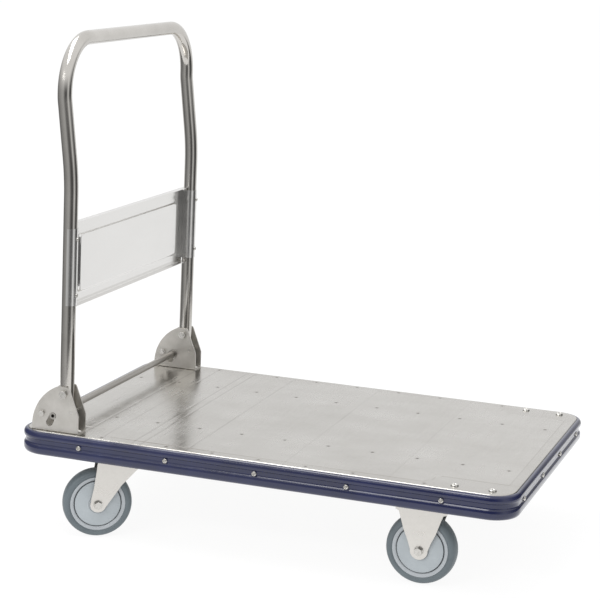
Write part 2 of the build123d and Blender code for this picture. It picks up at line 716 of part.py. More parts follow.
def swivel_leg(plane):
    """A leg tapering from the crown to the round boss at the axle, kingpin at zero."""
    ax, az = -trail, wheel_r
    with BuildSketch(plane) as leg:
        with BuildLine():
            Polyline((ax - boss_r + 0.4, az - 3), (ax - 12.6, az + 11), (ax - 8.5, az + 30),
                     (ax - 1.5, crown_top), (crown_half, crown_top), (crown_half, crown_top - 9),
                     (ax + 42, az + 37), (ax + boss_r - 0.8, az - 5), close=True)
        make_face()
        with Locations((ax, az)):
            Circle(boss_r)
    return leg.sketch


leg_planes = [Plane(origin=(0, y, 0), x_dir=(1, 0, 0), z_dir=(0, -1, 0)) for y in (-leg_inner, leg_out)]
swivel_legs = [swivel_leg(plane) for plane in leg_planes]


def swivel_fork():
    with BuildPart() as fork:
        with BuildSketch(Plane.XY.offset(crown_low)):
            RectangleRounded(2 * crown_half, 2 * leg_out, 12)
        extrude(amount=crown_top - crown_low)
        for outline in swivel_legs:
            extrude(outline, amount=leg_thick)
        Cylinder(king_r + run_gap, 2 * deck_top, mode=Mode.SUBTRACT)
        with Locations(Location((-trail, 0, wheel_r), (90, 0, 0))):
            Cylinder(axle_r + axle_gap, 4 * leg_out, mode=Mode.SUBTRACT)
    return fork.part


def kingpin():
    """A riveted pin: its lower head holds the fork, its upper head sits on the plate."""
    low = crown_low - crown_gap
    with BuildPart() as pin:
        with Locations((0, 0, low - king_head)):
            Cylinder(king_head_r, king_head, align=standing)
            Cylinder(king_r, caster_height - low + king_head, align=standing)
        with Locations((0, 0, caster_height)):
            Cone(king_head_r + 1.0, king_head_r - 1.0, king_head - 2.0, align=standing)
    return pin.part


def ball_set():
    with BuildPart() as balls:
        with PolarLocations(ball_ring, ball_count):
            Sphere(ball_r - ball_gap)
    return Pos(0, 0, ball_z) * balls.part


kingpins, balls = [], []
for corner, s, turn in (("rear_left", 1, 0.0), ("rear_right", -1, right_turn)):
    at = Location((-caster_x, s * caster_y, 0))
    save(at * caster_plate(True), "swivel_plate_" + corner)
    save(Location((-caster_x, s * caster_y, 0), (0, 0, turn)) * swivel_fork(), "swivel_fork_" + corner)
    kingpins.append(at * kingpin())
    balls.append(at * ball_set())
save(group(kingpins), "kingpins")
save(group(balls), "swivel_balls")


# ---- rigid casters: plate and two legs in one pressing ------------------------------
def rigid_leg(plane):
    """A leg flared on both sides, from the round boss at the axle up to the plate."""
    az = wheel_r
    flare = [(15, az), (21, az + 17), (28.5, az + 34), (39, az + 67), (45, az + 69), (45, plate_low)]
    with BuildSketch(plane) as leg:
        with BuildLine():
            Polyline(*[(-x, z) for x, z in flare], *reversed(flare), close=True)
        make_face()
        with Locations((0, az)):
            Circle(rigid_boss_r)
    return leg.sketch


rigid_legs = [rigid_leg(plane) for plane in leg_planes]


def rigid_fork():
    with BuildPart() as fork:
        add(caster_plate(False))
        for outline in rigid_legs:
            extrude(outline, amount=leg_thick)
        with Locations(Location((0, 0, wheel_r), (90, 0, 0))):
            Cylinder(axle_r + axle_gap, 4 * leg_out, mode=Mode.SUBTRACT)
    return fork.part


for corner, s in (("front_left", 1), ("front_right", -1)):
    save(Pos(caster_x, s * caster_y, 0) * rigid_fork(), "rigid_fork_" + corner)

# ---- caster fasteners ---------------------------------------------------------------
with BuildPart() as caster_bolt:
    with BuildSketch(Plane.XY.offset(plate_low - m8_head)):
        RegularPolygon(m8_across / 2 / hex_ratio, 6)
    extrude(amount=m8_head)
    with Locations((0, 0, plate_low)):
        Cylinder(m8_r, plate_thick + channel_wall + m8_nut + thread_out, align=standing)
caster_nut = Pos(0, 0, caster_height + channel_wall) * hex_nut(m8_across, m8_nut, m8_r + thread_gap)
grid = [(dx * bolt_x / 2, dy * bolt_y / 2) for dx in sides for dy in sides]
spots = [(sx * caster_x + dx, sy * caster_y + dy) for sx in sides for sy in sides for dx, dy in grid]
save(group([Pos(x, y, 0) * caster_bolt.part for x, y in spots]), "caster_bolts")
save(group([Pos(x, y, 0) * caster_nut for x, y in spots]), "caster_nuts")
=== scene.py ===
"""Folding platform cart: stainless deck and handle, blue bumper, grey wheels.

Metres, +Z up, +X the way the cart is pushed, floor at zero. The pieces follow in the order in
which the cart is put together, after the studio.
"""

import math

import bmesh
import bpy
import numpy as np
from mathutils import Matrix


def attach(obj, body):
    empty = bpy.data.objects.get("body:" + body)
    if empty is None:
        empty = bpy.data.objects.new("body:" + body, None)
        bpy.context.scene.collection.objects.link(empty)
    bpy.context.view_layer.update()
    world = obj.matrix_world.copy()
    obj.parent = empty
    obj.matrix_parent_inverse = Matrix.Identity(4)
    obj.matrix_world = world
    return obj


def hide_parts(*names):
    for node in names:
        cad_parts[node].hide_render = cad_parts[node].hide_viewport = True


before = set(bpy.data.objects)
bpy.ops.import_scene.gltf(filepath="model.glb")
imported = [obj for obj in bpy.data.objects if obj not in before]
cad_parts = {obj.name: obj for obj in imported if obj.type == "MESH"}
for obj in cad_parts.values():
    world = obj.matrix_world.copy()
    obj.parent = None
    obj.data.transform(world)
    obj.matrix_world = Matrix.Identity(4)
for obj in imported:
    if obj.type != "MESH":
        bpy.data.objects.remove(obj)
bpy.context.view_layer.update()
MM = 0.001

# ---- studio -----------------------------------------------------------------
# A white floor and a white surround under two long soft boxes. A long lens looks from the free
# end's right side, a little from above. A ring of grey boards gives polished steel something to show.
scene = bpy.context.scene
scene.view_settings.view_transform = "Standard"


def linear(code):
    """Linear colour of an sRGB hex code: each channel through the sRGB curve."""
    channels = [int(code[i:i + 2], 16) / 255 for i in (1, 3, 5)]
    return tuple(c / 12.92 if c <= 0.04045 else ((c + 0.055) / 1.055) ** 2.4 for c in channels) + (1.0,)


def node(tree, kind, settings=None, **links):
    """A node with its settings; each input takes a value or another node's socket.

    An input goes by its name, or by its number as i0, i1 and so on.
    """
    made = tree.nodes.new("ShaderNode" + kind)
    for key, value in (settings or {}).items():
        setattr(made, key, value)
    for key, value in links.items():
        name = key.replace("_", " ")
        spot = made.inputs[int(key[1:])] if key[0] == "i" and key[1:].isdigit() else made.inputs[name]
        if isinstance(value, bpy.types.NodeSocket):
            tree.links.new(value, spot)
        else:
            spot.default_value = value
    return made


azimuth, elevation, roll = (math.radians(a) for a in (18.559, 11.556, 2.606))
forward = np.array([-math.sin(azimuth) * math.cos(elevation), math.cos(azimuth) * math.cos(elevation),
                    -math.sin(elevation)])
level = np.array([math.cos(azimuth), math.sin(azimuth), 0.0])
upward = np.cross(level, forward)
camera = bpy.data.objects.new("camera", bpy.data.cameras.new("camera"))
camera.data.lens = 114.93
camera.data.sensor_width = 36.0
camera.data.clip_end = 200.0
right_axis = math.cos(roll) * level + math.sin(roll) * upward
up_axis = math.cos(roll) * upward - math.sin(roll) * level
placing = np.eye(4)
placing[:3, 0], placing[:3, 1], placing[:3, 2] = right_axis, up_axis, -forward
placing[:3, 3] = (1.0665, -3.2754, 1.1263)
camera.matrix_world = Matrix(placing.tolist())
scene.collection.objects.link(camera)
scene.camera = camera


def soft_box(name, at, aim, width, height, watts):
    """A rectangular light at a point, facing another."""
    lamp = bpy.data.lights.new(name, "AREA")
    lamp.shape, lamp.size, lamp.size_y, lamp.energy = "RECTANGLE", width, height, watts
    body = bpy.data.objects.new(name, lamp)
    body.location = at
    direction = body.location.copy()
    direction.x, direction.y, direction.z = aim[0] - at[0], aim[1] - at[1], aim[2] - at[2]
    body.rotation_euler = direction.to_track_quat("-Z", "Y").to_euler()
    scene.collection.objects.link(body)


soft_box("strip_box", (-0.8, -0.4, 3.0), (-0.2, 0, 0.2), 3.4, 0.9, 46.0)
soft_box("front_box", (-1.2, -3.4, 2.4), (0, 0, 0.3), 2.4, 0.3, 34.0)

world = bpy.data.worlds.new("studio")
world.use_nodes = True
world.node_tree.nodes["Background"].inputs["Color"].default_value = (1.0, 1.0, 1.0, 1.0)
world.node_tree.nodes["Background"].inputs["Strength"].default_value = 1.0
scene.world = world


def finish(name, low, high, dull, patch, grain=None, depth=0.0, **fixed):
    """A material: patches of two colours and a span of roughness, and fine relief.

    The sizes of a patch and of the grain are in millimetres along X, Y and Z; so is the relief's depth.
    """
    made = bpy.data.materials.new(name)
    made.use_nodes = True
    tree = made.node_tree
    shader = tree.nodes["Principled BSDF"]
    for key, value in fixed.items():
        shader.inputs[key.replace("_", " ")].default_value = value
    here = node(tree, "TexCoord").outputs["Object"]
    for size in (patch, grain) if grain else (patch,):
        shrunk = node(tree, "Mapping", i0=here, Scale=[1 / (length * MM) for length in size]).outputs[0]
        mottle = node(tree, "TexNoise", Vector=shrunk, Scale=1.0, Detail=4.0, Roughness=0.6).outputs[0]
        if size is patch:
            share = node(tree, "MapRange", i0=mottle, i1=0.3, i2=0.7).outputs[0]
            tint = node(tree, "Mix", {"data_type": "RGBA"}, i0=share, i6=linear(low), i7=linear(high))
            tree.links.new(tint.outputs[2], shader.inputs["Base Color"])
            rough = node(tree, "MapRange", i0=share, i3=dull[0], i4=dull[1])
            tree.links.new(rough.outputs[0], shader.inputs["Roughness"])
        else:
            raised = node(tree, "Bump", Height=mottle, Distance=depth * MM, Strength=1.0)
            tree.links.new(raised.outputs[0], shader.inputs["Normal"])
    return made


# a sheet lit from below, with no shine: white out to the horizon, and only a faint shadow on it
floor_paint = finish("lit_white_floor", "#626262", "#626262", (0.9, 0.9), (333, 333, 333), Specular_IOR_Level=0.0,
                     Emission_Color=(1.0, 1.0, 1.0, 1.0), Emission_Strength=0.90)
floor_mesh = bpy.data.meshes.new("floor")
far = 40.0
floor_mesh.from_pydata([(-far, -far, 0), (far, -far, 0), (far, far, 0), (-far, far, 0)], [], [(0, 1, 2, 3)])
floor = bpy.data.objects.new("floor", floor_mesh)
floor_mesh.materials.append(floor_paint)
scene.collection.objects.link(floor)

# a ring of light and dark boards round the set, in metres, seen only in polished surfaces
ring_reach, ring_foot, ring_height, fade_from, fade_to = 1.4, 0.002, 1.7, 0.6, 1.5
boards = bpy.data.meshes.new("boards")
spokes = np.linspace(0, math.tau, 97)[:-1]
low_ring = np.stack([ring_reach * np.cos(spokes), ring_reach * np.sin(spokes), 0 * spokes + ring_foot], -1)
ring = np.concatenate([low_ring, low_ring + (0, 0, ring_height)])
count = len(spokes)
step = np.arange(count)
boards.from_pydata(ring.tolist(), [], np.stack([step, (step + 1) % count, (step + 1) % count + count,
                                                step + count], -1).tolist())
board_paint = bpy.data.materials.new("board_paint")
board_paint.use_nodes = True
tree = board_paint.node_tree
tree.nodes.clear()
look = node(tree, "SeparateXYZ", i0=node(tree, "TexCoord").outputs["Object"])
turn = node(tree, "Math", {"operation": "ARCTAN2"}, i0=look.outputs["Y"], i1=look.outputs["X"]).outputs[0]
around = node(tree, "Math", {"operation": "MULTIPLY_ADD"}, i0=turn, i1=1 / math.tau, i2=0.5).outputs[0]
greys = node(tree, "ValToRGB", i0=around)
# how bright the boards are at each share of a turn, from -X through -Y, +X and +Y
levels = [
    (0.00, 0.16), (0.05, 0.30), (0.106, 0.38), (0.158, 0.48), (0.206, 0.50), (0.25, 0.20), (0.30, 0.08),
    (0.344, 0.12), (0.38, 0.35), (0.42, 0.85), (0.45, 0.60), (0.494, 0.22), (0.55, 0.08), (0.628, 0.07),
    (0.66, 0.45), (0.70, 0.97), (0.80, 0.90), (0.89, 0.90), (0.93, 0.60), (0.972, 0.20), (1.0, 0.16),
]
marks = greys.color_ramp.elements
for place, bright in levels[1:-1]:
    marks.new(place)
for mark, (place, bright) in zip(marks, levels):
    mark.position = place
    mark.color = (bright, bright, bright, 1.0)
# they fade into the white above them between knee and chest height
fade = node(tree, "MapRange", {"interpolation_type": "SMOOTHSTEP"}, i0=look.outputs["Z"], i1=fade_from, i2=fade_to)
faded = node(tree, "Mix", {"data_type": "RGBA"}, i0=fade.outputs[0], i6=greys.outputs["Color"],
             i7=(1.0, 1.0, 1.0, 1.0)).outputs[2]
node(tree, "OutputMaterial", i0=node(tree, "Emission", Color=faded, Strength=1.0).outputs[0])
boards.materials.append(board_paint)
board_ring = bpy.data.objects.new("boards", boards)
scene.collection.objects.link(board_ring)
board_ring.visible_camera = board_ring.visible_diffuse = False
board_ring.visible_shadow = board_ring.visible_transmission = False

# ---- deck -------------------------------------------------------------------
# One sheet of stainless steel, pressed up into a shallow field with lowered corner pads, folded
# down all round, and spot-welded from below, which leaves rows of small dimples.
half_x, half_y = 449.0, 298.0
deck_top, border_z, under_z, skirt_z = 194.5, 193.7, 192.5, 158.5
fold_r, steel_corner = 2.5, 42.0
field_x, field_y, pad_x, pad_y = 430.0, 276.0, 303.0, 232.0
pad_slant, pad_slant_cosine = 11.0, 0.894
step_width = 3.2
weld_pitch, weld_row, edge_weld_y = 82.0, 149.0, 285.0
edge_weld_x = np.array([0.0, 86.0, 171.0, 296.0])
weld_r, weld_deep, darkening = 3.2, 0.42, 3.0
rib_lines = np.array([-336.0, -295.0, -234.0, -217.0, -132.0, 47.0, 234.0])
rib_marks = np.array([1.0, 0.6, 0.8, 0.8, 0.6, 0.35, 0.3])
rib_wide, rib_deep, wave_deep = 2.2, 0.24, 0.09


def lines(low, high, step, fine_at, fine_half, fine_step):
    """Grid lines from low to high: an even step, and closer ones round each fine place."""
    coarse = np.linspace(low, high, int(round((high - low) / step)) + 1)
    close = np.arange(-fine_half, fine_half + fine_step / 2, fine_step)
    fine = (np.asarray(fine_at)[:, None] + close[None, :]).ravel()
    fine = fine[(fine > low) & (fine < high)]
    far_off = np.min(np.abs(coarse[:, None] - np.append(fine, 1e6)[None, :]), axis=1) > 0.6 * fine_step
    far_off[[0, -1]] = True
    merged = np.unique(np.round(np.concatenate([coarse[far_off], fine]), 3))
    return merged[np.append(True, np.diff(merged) > 0.25)]


def pressed_height(x, y):
    """Height of the sheet's top: a smooth step at the field's outline, less dimples, ribs and waves.

    A dimple falls off with the fourth power of the distance to its weld, a rib with the square of the
    distance to its line, and the waves are a sum of slow sines of x and y.
    """
    ax, ay = np.abs(x), np.abs(y)
    slant = (ax - pad_x - pad_slant + (ay - pad_y) * 2 * pad_slant / (field_y - pad_y)) * pad_slant_cosine
    inside = np.minimum(np.minimum(field_x - ax, field_y - ay), np.maximum(pad_y - ay, -slant))
    rise = np.clip(inside / step_width + 0.5, 0, 1)
    height = border_z + (deck_top - border_z) * rise * rise * (3 - 2 * rise)
    height = height - weld_deep * np.exp(-(weld_distance(x, y) / weld_r) ** 4)
    ribs = sum(mark * np.exp(-((x - at) / rib_wide) ** 2) for at, mark in zip(rib_lines, rib_marks))
    waves = (np.sin(x / 61 + 1.3) * np.sin(y / 83 + 0.4) + 0.6 * np.sin(x / 37 + y / 71)
             + 0.5 * np.sin(x / 113 - y / 49 + 2.0))
    return height - rise * (rib_deep * ribs + wave_deep * (waves + 2.1))


def weld_distance(x, y):
    """Distance to the nearest spot weld, in the two long rows or along the edges."""
    columns = np.clip(np.round(x / weld_pitch), -5, 5) * weld_pitch
    near = np.hypot(x - columns, np.abs(y) - weld_row)
    edge_x = edge_weld_x[np.abs(np.abs(x)[..., None] - edge_weld_x).argmin(-1)]
    return np.minimum(near, np.hypot(np.abs(x) - edge_x, np.abs(y) - edge_weld_y))


def round_corner(a, b, r):
    """Square corner pressed into a quarter disc: each of a and b, up to r, is multiplied by the root of
    one less half the square of the other's share of r. The two straight sides stay where they are."""
    return a * np.sqrt(1 - b * b / (2 * r * r)), b * np.sqrt(1 - a * a / (2 * r * r))


def quads(count_u, count_v, first=0, loop_u=False, loop_v=False):
    """Faces of a grid of points, with its far sides joined to its near ones where it loops."""
    index = first + np.arange(count_u * count_v).reshape(count_u, count_v)
    if loop_u:
        index = np.vstack([index, index[:1]])
    if loop_v:
        index = np.hstack([index, index[:, :1]])
    return np.stack([index[:-1, :-1], index[1:, :-1], index[1:, 1:], index[:-1, 1:]], -1).reshape(-1, 4)


def piece(name, patches, body, material, replaced, crease=35.0):
    """One object from grids of points in millimetres: (points, loops along u, loops along v)."""
    points, faces, first = [], [], 0
    for grid, loop_u, loop_v in patches:
        points.append(grid.reshape(-1, 3))
        faces.append(quads(*grid.shape[:2], first, loop_u, loop_v))
        first += grid.shape[0] * grid.shape[1]
    mesh = bpy.data.meshes.new(name)
    mesh.from_pydata((np.concatenate(points) * MM).tolist(), [], np.concatenate(faces).tolist())
    shape = bmesh.new()
    shape.from_mesh(mesh)
    bmesh.ops.remove_doubles(shape, verts=shape.verts, dist=2e-6)
    bmesh.ops.recalc_face_normals(shape, faces=shape.faces)
    shape.to_mesh(mesh)
    shape.free()
    return show(name, mesh, body, material, replaced, crease)


def show(name, mesh, body, material, replaced, crease):
    """Put a finished mesh in the scene: smooth faces, its material, its body and its nodes."""
    mesh.shade_smooth()
    mesh.set_sharp_from_angle(angle=math.radians(crease))
    mesh.materials.clear()
    mesh.materials.append(material)
    made = bpy.data.objects.new(name, mesh)
    scene.collection.objects.link(made)
    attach(made, body)
    if replaced:
        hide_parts(*replaced)
    return made


weld_columns = np.arange(-5, 6) * weld_pitch
# grid lines crowd round the welds, the ribs, the field's step and the pads' slanting ends
grid_step, weld_half, weld_step = 14.0, 4.6, 1.15
inner_r = steel_corner - fold_r
straight_x, straight_y = half_x - steel_corner, half_y - steel_corner
fine_x = np.concatenate([weld_columns, -edge_weld_x[1:], edge_weld_x[1:]])
grid_x = lines(-half_x + fold_r, half_x - fold_r, grid_step, fine_x, weld_half, weld_step)
grid_x = np.unique(np.concatenate([grid_x, lines(-field_x - 4, -field_x + 4, 1.0, [], 1, 1),
                                   lines(field_x - 4, field_x + 4, 1.0, [], 1, 1),
                                   (rib_lines[:, None] + np.arange(-5, 6, 1.7)).ravel(),
                                   np.array([s * at for at in range(290, 328, 2) for s in (-1, 1)])]))
grid_y = lines(-half_y + fold_r, half_y - fold_r, grid_step, [-edge_weld_y, -weld_row, weld_row, edge_weld_y],
               weld_half, weld_step)
grid_y = np.unique(np.concatenate([grid_y, lines(-field_y - 3, -field_y + 3, 1.0, [], 1, 1),
                                   lines(field_y - 3, field_y + 3, 1.0, [], 1, 1),
                                   lines(-pad_y - 3, -pad_y + 3, 1.0, [], 1, 1),
                                   lines(pad_y - 3, pad_y + 3, 1.0, [], 1, 1)]))
flat_x, flat_y = np.meshgrid(grid_x, grid_y, indexing="ij")
over_x = np.clip(np.abs(flat_x) - straight_x, 0, None)
over_y = np.clip(np.abs(flat_y) - straight_y, 0, None)
corner_x, corner_y = round_corner(over_x, over_y, inner_r)
flat_x = np.sign(flat_x) * (np.abs(flat_x) - over_x + corner_x)
flat_y = np.sign(flat_y) * (np.abs(flat_y) - over_y + corner_y)
top_grid = np.stack([flat_x, flat_y, pressed_height(flat_x, flat_y)], -1)

rim = np.concatenate([top_grid[:-1, 0], top_grid[-1, :-1], top_grid[:0:-1, -1], top_grid[0, :0:-1]])
outward = np.stack([np.sign(rim[:, 0]) * np.clip(np.abs(rim[:, 0]) - straight_x, 0, None),
                    np.sign(rim[:, 1]) * np.clip(np.abs(rim[:, 1]) - straight_y, 0, None)], -1)
outward /= np.linalg.norm(outward, axis=1, keepdims=True)
fold = np.radians(np.linspace(0, 90, 7))
# reach outwards and height of each ring: over the fold, down the skirt, round its edge and up inside
skirt = [(fold_r * math.sin(a), border_z - fold_r * (1 - math.cos(a))) for a in fold]
skirt += [(fold_r, 175.0), (fold_r, skirt_z + 0.3), (fold_r - 0.3, skirt_z), (0.8, skirt_z), (0.5, skirt_z + 0.3),
          (0.5, under_z)]
rings = [np.column_stack([rim[:, :2] + outward * out, np.full(len(rim), z)]) for out, z in skirt[1:]]
below = [np.column_stack([rim[:, :2] * share, np.full(len(rim), under_z)]) for share in (0.7, 0.3, 0.0)]
rim_grid = np.stack([rim] + rings + below)

# cold-rolled sheet, nearly a mirror: soft reflections drawn out across its lengthwise rolling grain,
# duller in clouds and in wiped streaks, darkened to brown-grey round each weld, and with painted shade
# along the ribs and low on the field's step. The grain is really far under 0.1 mm wide and is drawn
# 1.4 mm wide, so that it shows.
rolled_stainless = finish("rolled_stainless_304", "#BEBBB6", "#CDCBC7", (0.17, 0.27), (143, 89, 143),
                          (167, 1.4, 3.3), 0.0015, Metallic=1.0)
tree = rolled_stainless.node_tree
shader = tree.nodes["Principled BSDF"]
# streaks about 6 mm wide and 110 mm long: 160 and 9 to the metre
streaks = (160, 9, 20)
stretched = node(tree, "Mapping", i0=node(tree, "TexCoord").outputs["Object"], Scale=streaks).outputs[0]
wiped = node(tree, "TexNoise", Vector=stretched, Scale=1.0, Detail=2.0, Roughness=0.7).outputs[0]
extra = node(tree, "MapRange", i0=wiped, i1=0.3, i2=0.7, i3=-0.03, i4=0.06).outputs[0]
clouded = shader.inputs["Roughness"].links[0].from_socket
tree.links.new(node(tree, "Math", {"operation": "ADD"}, i0=clouded, i1=extra).outputs[0], shader.inputs["Roughness"])
# the deck's darkening: darker round the welds, and painted shade along the ribs and the field's step
darkening_share = node(tree, "Attribute", {"attribute_name": "darkening"}).outputs["Fac"]
plain = shader.inputs["Base Color"].links[0].from_socket
darkened_colour = node(tree, "Mix", {"data_type": "RGBA"}, i0=darkening_share, i6=plain, i7=linear("#5E584F")).outputs[2]
tree.links.new(darkened_colour, shader.inputs["Base Color"])
deck_sheet = piece("deck_sheet", [(top_grid, False, False), (rim_grid, False, True)], "chassis", rolled_stainless,
                   ["deck_panel"], crease=50.0)
deck_points = np.empty(len(deck_sheet.data.vertices) * 3, np.float32)
deck_sheet.data.vertices.foreach_get("co", deck_points)
deck_points = deck_points.reshape(-1, 3) / MM
deck_px, deck_py, deck_pz = deck_points.T
# darker round each weld, painted shade over the ribs and low on the field's step, and none down the skirt
rib_painted_shade, rib_shade_wide, step_painted_shade, step_shade_up, step_shade_wide, darkening_floor = 0.34, 1.2, 0.30, 0.2, 0.15, 193
weld_darkening_and_painted_shade = np.exp(-(weld_distance(deck_px, deck_py) / darkening) ** 2)
weld_darkening_and_painted_shade += sum(rib_painted_shade * mark * np.exp(-((deck_px - at) / rib_shade_wide) ** 2)
              for at, mark in zip(rib_lines, rib_marks))
weld_darkening_and_painted_shade += step_painted_shade * np.exp(-((pressed_height(deck_px, deck_py) - border_z - step_shade_up) / step_shade_wide) ** 2)
weld_darkening_and_painted_shade *= deck_pz > darkening_floor
deck_sheet.data.attributes.new("darkening", "FLOAT", "POINT").data.foreach_set("value", weld_darkening_and_painted_shade.astype(np.float32))

# ---- channels and rails under the deck -----------------------------------------
# Two channels across and two rails along, folded from 2.5 mm stainless strip and spot-welded up
# against the deck. The casters bolt to the channels.

# mill finish left as it came off the rolls: a dull grey shine in streaks across the strip, whose
# grain is drawn 1.1 mm wide, coarser than real, so that it shows
strip_stainless = finish("mill_finish_strip", "#A9A7A3", "#C2C0BC", (0.30, 0.46), (6, 50, 4), (1.1, 11, 1.1), 0.02,
                         Metallic=1.0)


def coat(material, *names):
    """Give CAD nodes that stay in view their finish."""
    for name in names:
        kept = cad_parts[name]
        kept.data.materials.clear()
        kept.data.materials.append(material)


coat(strip_stainless, "cross_channel_front", "cross_channel_rear", "deck_rail_left", "deck_rail_right")

# ---- bumper -----------------------------------------------------------------
# A strip of dark blue vinyl extruded with two bulges and a recessed band between them, softened
# and drawn round the skirt, and held by pan screws with a cross recess.
bumper_top, band_in, screw_drop = 192.5, 4.6, 19.0
# reach outwards from the sheet's edge and height from the bumper's top, once round the section
section = np.array([
    (0.1, 0.0), (1.6, 0.0), (3.4, -0.35), (5.4, -1.6), (6.9, -3.6), (7.7, -6.0), (8.0, -8.4), (7.8, -10.6),
    (7.1, -12.4), (5.9, -13.6), (4.8, -14.3), (4.6, -15.2), (4.6, -17.0), (4.6, -19.0), (4.6, -21.0),
    (4.7, -22.6), (5.1, -23.1), (5.7, -23.6), (6.4, -24.2), (6.9, -24.8), (7.3, -25.6), (7.6, -26.8), (7.9, -28.8),
    (8.0, -31.4), (7.8, -34.0), (7.2, -36.6), (6.0, -39.0), (4.2, -40.9), (2.0, -41.9), (0.0, -42.0),
    (-4.5, -42.0), (-8.8, -42.0), (-9.0, -41.0), (-8.8, -39.9), (-4.5, -39.8), (0.1, -39.8), (0.1, -30.0),
    (0.1, -20.0), (0.1, -10.0), (0.1, -0.4),
])


def rounded_loop(reach_x, reach_y, r, per_corner, per_side):
    """Points and outward normals round a rectangle with rounded corners, anticlockwise."""
    places, normals = [], []
    for start, sx, sy in ((-90, 1, -1), (0, 1, 1), (90, -1, 1), (180, -1, -1)):
        turned = np.radians(start + np.linspace(0, 90, per_corner))
        out = np.stack([np.cos(turned), np.sin(turned)], -1)
        places.append(np.array([sx * (reach_x - r), sy * (reach_y - r)]) + out * r)
        normals.append(out)
        here, step = places[-1][-1], np.array([-out[-1][1], out[-1][0]])
        run = 2 * ((reach_x - r) if abs(step[0]) > 0.5 else (reach_y - r))
        along = np.linspace(0, 1, per_side + 2)[1:-1, None]
        places.append(here + along * run * step)
        normals.append(np.repeat(out[-1:], per_side, axis=0))
    return np.concatenate(places), np.concatenate(normals)


path, out = rounded_loop(half_x, half_y, steel_corner, 15, 9)
bumper_grid = np.concatenate([
    path[:, None, :] + out[:, None, :] * section[None, :, :1],
    np.broadcast_to(bumper_top + section[None, :, 1:], (len(path), len(section), 1)),
], -1)
# extruded vinyl: deep blue with a smooth skin that gives long soft highlights, hazed by handling. Its
# faint drawing lines are 0.8 mm apart, coarser than real.
blue_vinyl = finish("blue_vinyl_extrusion", "#131838", "#192048", (0.14, 0.20), (71, 71, 71), (6, 6, 0.8), 0.008,
                    IOR=1.5, Coat_Weight=0.5, Coat_Roughness=0.08)
piece("bumper_strip", [(bumper_grid, True, True)], "chassis", blue_vinyl, ["bumper"], crease=60.0)


def pan_head(radius, height, arm, depth, shank_r, shank, steps=40):
    """A screw on the XY plane: its domed cap less a tapering cross, and its shank going down.

    The dome falls with the fourth and fourteenth powers of the radius. arm is half the cross's width,
    as a share of the radius.
    """
    share = np.concatenate([np.linspace(0, 0.62, 12), [0.74, 0.85, 0.93, 0.98, 1.0]])
    turned = np.linspace(0, math.tau, steps, endpoint=False)
    r, a = np.meshgrid(share, turned, indexing="ij")
    x, y = r * np.cos(a), r * np.sin(a)
    dome = height * (1 - r ** 4 * 0.35 - r ** 14 * 0.6)
    across, along = np.minimum(np.abs(x), np.abs(y)), np.maximum(np.abs(x), np.abs(y))
    cut = np.clip((arm - across) / 0.07 + 0.5, 0, 1) * np.clip((0.56 - along) / 0.16 + 0.5, 0, 1)
    cap = np.stack([x * radius, y * radius, dome - depth * cut], -1)
    below = [(radius, 0.0), (shank_r, 0.0), (shank_r, -shank), (0.0, -shank)]
    rings = [np.stack([x[-1] * reach, y[-1] * reach, 0 * x[-1] + z], -1)[None] for reach, z in below]
    return np.concatenate([cap] + rings)


def stand(points, at, facing):
    """Points made about +Z, turned to face another way and moved there."""
    ahead = np.array(facing, float)
    ahead /= np.linalg.norm(ahead)
    side = np.cross((0, 0, 1.0) if abs(ahead[2]) < 0.9 else (1.0, 0, 0), ahead)
    side /= np.linalg.norm(side)
    return points @ np.stack([side, np.cross(ahead, side), ahead]) + np.array(at, float)


# bright zinc plating: a soft silvery sparkle, uneven over a few millimetres
zinc_plate = finish("bright_zinc_plate", "#BFBDB8", "#D8D6D2", (0.16, 0.30), (4, 4, 4), Metallic=1.0)
head = pan_head(radius=4.9, height=3.9, arm=0.12, depth=1.6, shank_r=2.0, shank=12.0)
side_pitch, end_pitch, screw_z = 165.7, 150.0, bumper_top - screw_drop
heads = [((side_pitch * i, s * (half_y + band_in), screw_z), (0, s, 0)) for i in range(-2, 3) for s in (-1, 1)]
heads += [((s * (half_x + band_in), end_pitch * i, screw_z), (s, 0, 0))
          for i in (-1.5, -0.5, 0.5, 1.5) for s in (-1, 1)]
piece("bumper_pan_screws", [(stand(head, at, facing), False, True) for at, facing in heads], "chassis", zinc_plate,
      ["bumper_screws"], crease=40.0)

# ---- pad bolts ---------------------------------------------------------------
# Round-headed steel bolts with a cross recess, bright zinc plated. They go through the lowered
# pads at the free end and have nuts below.
deck_heads = [(x, y, border_z) for x in (346.0, 411.0) for y in (-275.0, 275.0)]
pad_head = pan_head(radius=7.0, height=3.2, arm=0.11, depth=1.4, shank_r=4.0, shank=12.0, steps=48)
piece("pad_bolts", [(stand(pad_head, at, (0, 0, 1)), False, True) for at in deck_heads], "chassis", zinc_plate,
      ["deck_bolts"], crease=40.0)

# ---- hinge brackets ------------------------------------------------------------
# Each is folded from 2.7 mm stainless plate into a U and bolted down through the deck. Its punched
# edges are slightly rounded over. The handle pivots on the upper bolt; the lower one holds a spring.

# thick plate as pressed: a satin grey, cloudy, with faint drawing marks running level, 0.55 mm apart,
# coarser than real
plate_stainless = finish("pressed_stainless_plate", "#C4C1BB", "#D6D3CE", (0.38, 0.52), (26, 26, 26),
                         (5.5, 5.5, 0.55), 0.02, Metallic=1.0)


def eased(name, source, width, material, body):
    """A copy of a CAD node, its flat faces made whole and its edges rounded over by a width in metres."""
    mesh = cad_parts[source].data.copy()
    mesh.name = name
    shape = bmesh.new()
    shape.from_mesh(mesh)
    bmesh.ops.remove_doubles(shape, verts=shape.verts, dist=1e-6)
    bmesh.ops.dissolve_limit(shape, angle_limit=math.radians(0.6), verts=shape.verts, edges=shape.edges)
    shape.to_mesh(mesh)
    shape.free()
    made = show(name, mesh, body, material, [source], 35.0)
    round_over = made.modifiers.new("round_over", "BEVEL")
    round_over.width, round_over.segments = width, 2
    round_over.limit_method, round_over.angle_limit = "ANGLE", math.radians(40)
    round_over.harden_normals = True
    return made


